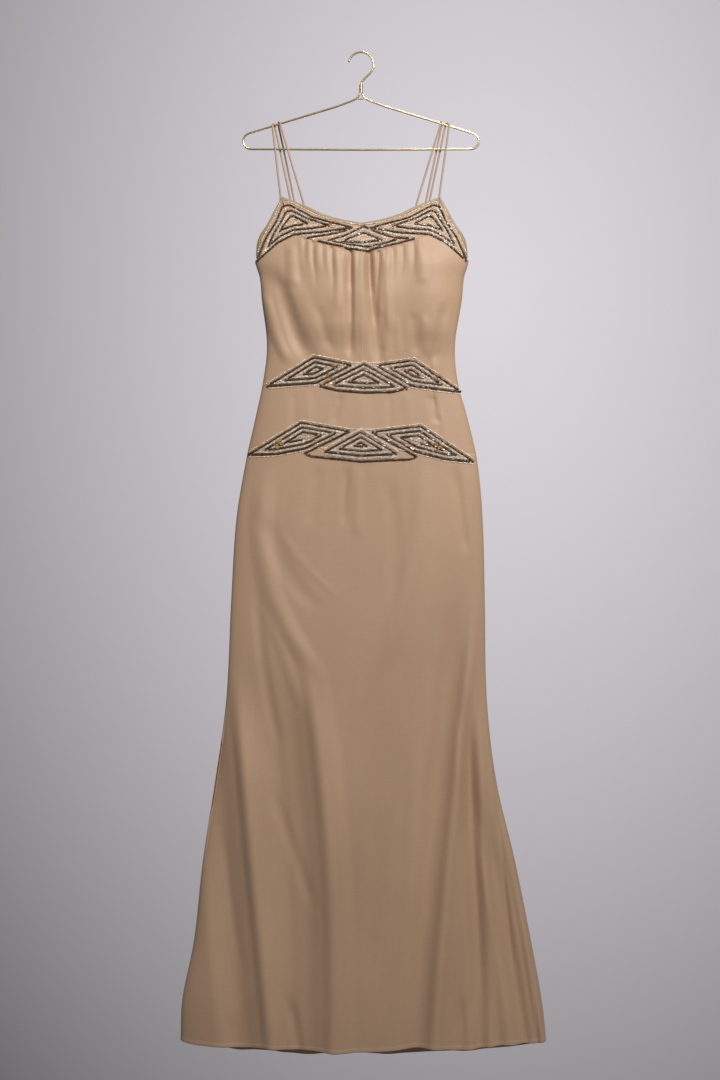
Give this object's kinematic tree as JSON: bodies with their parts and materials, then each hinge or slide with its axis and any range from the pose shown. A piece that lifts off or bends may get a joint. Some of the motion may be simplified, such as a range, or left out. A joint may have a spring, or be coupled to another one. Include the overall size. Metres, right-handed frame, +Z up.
{
  "type": "beaded evening gown on a wire hanger",
  "caption": "Long sleeveless evening gown with thin straps, gathered bodice, beaded neckline, waist and hip bands and a flared skirt, hanging from a slim gold wire hanger.",
  "frame": {"origin": "the inside of the crown of the hanger's hook, where it hangs on a rail", "axes": "+Z up along the hanging gown, -Y out of the gown's front, +X to the right seen from the front"},
  "size_m": [0.6136, 0.0968, 1.693],
  "materials": {
    "silk_crepe": "soft low sheen champagne silk crepe",
    "bias_binding": "plain olive-beige bias strip",
    "rouleau_strap": "smooth turned tube of pale pinkish-tan silk",
    "beadwork": "rows of bronze bugle beads and silver seed beads, glossy",
    "gilt_wire": "polished pale gold wire"
  },
  "bodies": {
    "root": {"yoke_front": "silk_crepe", "bodice_front_left": "silk_crepe", "bodice_front_right": "silk_crepe", "midriff_front": "silk_crepe", "skirt_front": "silk_crepe", "bodice_back": "silk_crepe", "skirt_back": "silk_crepe", "binding_neckline": "bias_binding", "binding_armhole_left": "bias_binding", "binding_armhole_right": "bias_binding", "binding_back": "bias_binding", "strap_left_outer": "rouleau_strap", "strap_left_inner": "rouleau_strap", "strap_right_inner": "rouleau_strap", "strap_right_outer": "rouleau_strap", "yoke_beads_left": "beadwork", "yoke_beads_centre": "beadwork", "yoke_beads_right": "beadwork", "waist_beads_left": "beadwork", "waist_beads_centre": "beadwork", "waist_beads_right": "beadwork", "hip_beads_left": "beadwork", "hip_beads_centre": "beadwork", "hip_beads_right": "beadwork", "hanger_frame": "gilt_wire", "hanger_link": "gilt_wire", "hanger_collar": "gilt_wire", "hanger_hook": "gilt_wire"}
  },
  "joints": []
}
